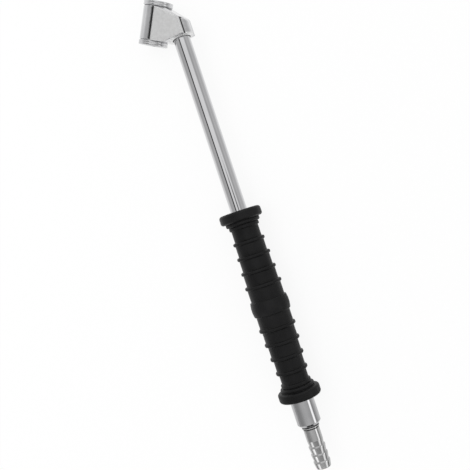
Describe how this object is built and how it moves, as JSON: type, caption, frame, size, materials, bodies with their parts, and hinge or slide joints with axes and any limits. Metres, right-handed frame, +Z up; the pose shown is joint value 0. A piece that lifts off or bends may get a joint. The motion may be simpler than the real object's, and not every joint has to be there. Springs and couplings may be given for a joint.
{
  "type": "tire inflator",
  "caption": "Hand-held twin-foot tyre inflator wand: angled double valve head on a chromed stem, ribbed rubber grip, barbed hose tail.",
  "frame": {"origin": "centre of the bounding box on the surface that the tool lies on; it rests on both grip flanges and on the rim of the lower face nut", "axes": "+X along the stem towards the hose tail, +Z up from the surface, the head leans to -Y"},
  "size_m": [0.2948, 0.0388, 0.0254],
  "materials": {
    "cast_chrome": "chromed zinc die casting, polished",
    "nut_chrome": "chromed, turned",
    "tube_chrome": "bright chromed steel tube",
    "coupling_chrome": "bright chromed, turned",
    "tail_chrome": "nickel-chromed brass, turned",
    "grip_rubber": "moulded black rubber, satin",
    "seal_rubber": "matte nitrile rubber",
    "brass": "turned brass",
    "spring_wire": "spring wire",
    "fibre": "red vulcanised fibre"
  },
  "bodies": {
    "inflator": {"head_body": "cast_chrome", "upper_face_nut": "nut_chrome", "lower_face_nut": "nut_chrome", "upper_seal_washer": "seal_rubber", "lower_seal_washer": "seal_rubber", "upper_valve_seat": "brass", "lower_valve_seat": "brass", "upper_valve_spring": "spring_wire", "lower_valve_spring": "spring_wire", "stem_tube": "tube_chrome", "stem_seal": "fibre", "grip_sleeve": "grip_rubber", "coupling": "coupling_chrome", "coupling_seal": "fibre", "hose_tail": "tail_chrome", "tail_seal": "seal_rubber"},
    "upper_valve": {"upper_plunger": "brass", "upper_valve_disc": "seal_rubber"},
    "lower_valve": {"lower_plunger": "brass", "lower_valve_disc": "seal_rubber"}
  },
  "joints": [
    {"name": "upper_valve_slide", "type": "slide", "parent": "inflator", "child": "upper_valve", "axis": [0.866, -0.4883, -0.1077], "range_m": [0, 0.0018], "stiffness_N_per_m": 400, "springref_m": -0.0012, "deforming": ["upper_valve_spring"]},
    {"name": "lower_valve_slide", "type": "slide", "parent": "inflator", "child": "lower_valve", "axis": [-0.866, 0.4883, 0.1077], "range_m": [0, 0.0018], "stiffness_N_per_m": 400, "springref_m": -0.0012, "deforming": ["lower_valve_spring"]}
  ]
}
